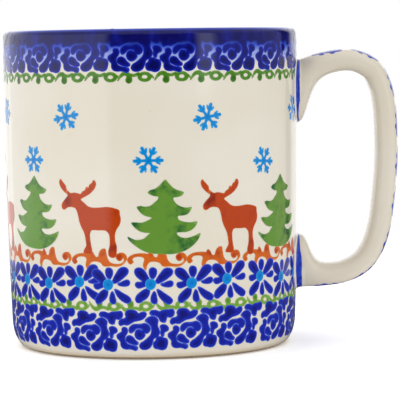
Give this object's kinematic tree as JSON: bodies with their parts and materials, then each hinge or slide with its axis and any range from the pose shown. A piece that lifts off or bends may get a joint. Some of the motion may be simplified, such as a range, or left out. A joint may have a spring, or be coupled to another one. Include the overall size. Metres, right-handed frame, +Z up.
{
  "type": "stoneware mug",
  "caption": "Straight-sided stoneware mug with a strap handle, white clear-glazed inside and stamp-decorated in cobalt, green and rust outside.",
  "frame": {"origin": "centre of the foot ring, on the body's axis, at the plane the mug stands on", "axes": "+Z up the body's axis towards the mouth, +X towards the handle, +Y across the handle's plane"},
  "size_m": [0.1155, 0.086, 0.0925],
  "materials": {
    "stoneware": "bare fired clay, fine-grained and matt",
    "slip": "smoothed clay slip under the glaze",
    "cream_glaze": "glossy clear glaze over cream-white clay",
    "cobalt": "cobalt underglaze stamp colour, glossy",
    "leaf_green": "green underglaze brush and stamp colour, glossy",
    "rust": "rust-red underglaze stamp colour, glossy",
    "amber": "amber-orange underglaze brush colour, glossy",
    "sky_blue": "light blue underglaze stamp colour, glossy"
  },
  "bodies": {
    "root": {"stoneware_body": "stoneware", "handle": "stoneware", "upper_handle_slip": "slip", "lower_handle_slip": "slip", "outside_glaze": "cream_glaze", "liner_glaze": "cream_glaze", "underside_glaze": "cream_glaze", "handle_glaze": "cream_glaze", "rim_band": "cobalt"}
  },
  "joints": []
}
